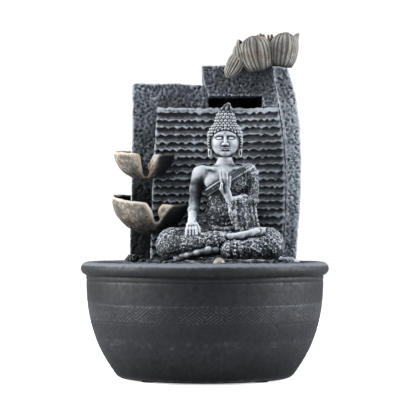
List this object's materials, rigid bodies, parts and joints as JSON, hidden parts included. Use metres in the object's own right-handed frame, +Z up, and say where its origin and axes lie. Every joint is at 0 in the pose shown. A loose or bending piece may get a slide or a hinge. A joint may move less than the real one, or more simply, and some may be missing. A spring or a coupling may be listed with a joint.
{
  "type": "tabletop water fountain",
  "caption": "Round bowl with a lift-out stone-look sculpture: seated figure before a rippled water wall, pouring cups, lotus on top, and a small pump inside.",
  "frame": {"origin": "centre of the bowl on the surface it rests on", "axes": "+Z up, -Y is the front that the figure faces, +X is the viewer's right when looking at the front"},
  "size_m": [0.21, 0.2099, 0.2923],
  "materials": {
    "bowl_resin": "matt cast resin, dry-brushed grey over charcoal",
    "rock_resin": "matt cast resin, rough",
    "slab_resin": "matt cast resin, hammered and pitted",
    "ripple_resin": "matt cast resin, pale dry-brushed ridges",
    "cup_resin": "matt cast resin, tan dry-brush with rust edges",
    "lotus_resin": "matt cast resin, grey-beige with brown grooves",
    "pod_resin": "matt cast resin, orange brown",
    "figure_resin": "matt cast resin, pale grey dry-brush over charcoal",
    "rubber": "matt",
    "pump_plastic": "fine moulded texture",
    "white_plastic": "satin moulded",
    "dial_plastic": "satin moulded",
    "foam": "open-cell foam",
    "core_steel": "laminated",
    "coil_copper": "enamelled wire",
    "shaft_ceramic": "polished",
    "magnet": "sintered",
    "screw_steel": "plated",
    "clear_tube": "translucent soft vinyl",
    "led_yellow": "potted",
    "lens_glass": "frosted lens"
  },
  "bodies": {
    "base": {"bowl": "bowl_resin", "foot_pads": "rubber", "pump_body": "pump_plastic", "pump_end_cap": "pump_plastic", "stator_core": "core_steel", "stator_coil": "coil_copper", "rotor_shaft": "shaft_ceramic", "shaft_bushes": "rubber", "impeller_cover": "pump_plastic", "suction_cups": "rubber", "cable_gland": "rubber"},
    "rotor": {"rotor_magnet": "magnet", "impeller": "white_plastic"},
    "grille": {"intake_grille": "pump_plastic", "foam_filter": "foam"},
    "dial": {"flow_dial": "dial_plastic"},
    "sculpture": {"pedestal": "rock_resin", "back_slab": "slab_resin", "ripple_wall": "ripple_resin", "right_pillar": "slab_resin", "spout_block": "slab_resin", "spout_trough": "rock_resin", "rear_housing": "rock_resin", "rear_cover": "rock_resin", "cover_screws": "screw_steel", "lower_tube": "clear_tube", "tee_fitting": "pump_plastic", "upper_tube": "clear_tube", "cup_feed_tube": "clear_tube", "upper_cup": "cup_resin", "lower_cup": "cup_resin", "lotus_petals": "lotus_resin", "lotus_pod": "pod_resin", "lotus_stamens": "pod_resin", "seated_figure": "figure_resin", "rock_left": "rock_resin", "rock_right": "rock_resin", "led_housing": "pump_plastic", "led_board": "led_yellow", "led_lens": "lens_glass"}
  },
  "joints": [
    {"name": "sculpture_lift", "type": "slide", "parent": "base", "child": "sculpture", "axis": [0, 0, 1], "range_m": [0, 0.12]},
    {"name": "impeller_spin", "type": "hinge", "parent": "base", "child": "rotor", "pos_m": [0, 0.033, 0.027], "axis": [1, 0, 0], "continuous": true},
    {"name": "grille_pull", "type": "slide", "parent": "base", "child": "grille", "axis": [1, 0, 0], "range_m": [0, 0.012]},
    {"name": "dial_turn", "type": "hinge", "parent": "grille", "child": "dial", "pos_m": [0.03, 0.033, 0.027], "axis": [1, 0, 0], "range_deg": [0, 90]}
  ]
}
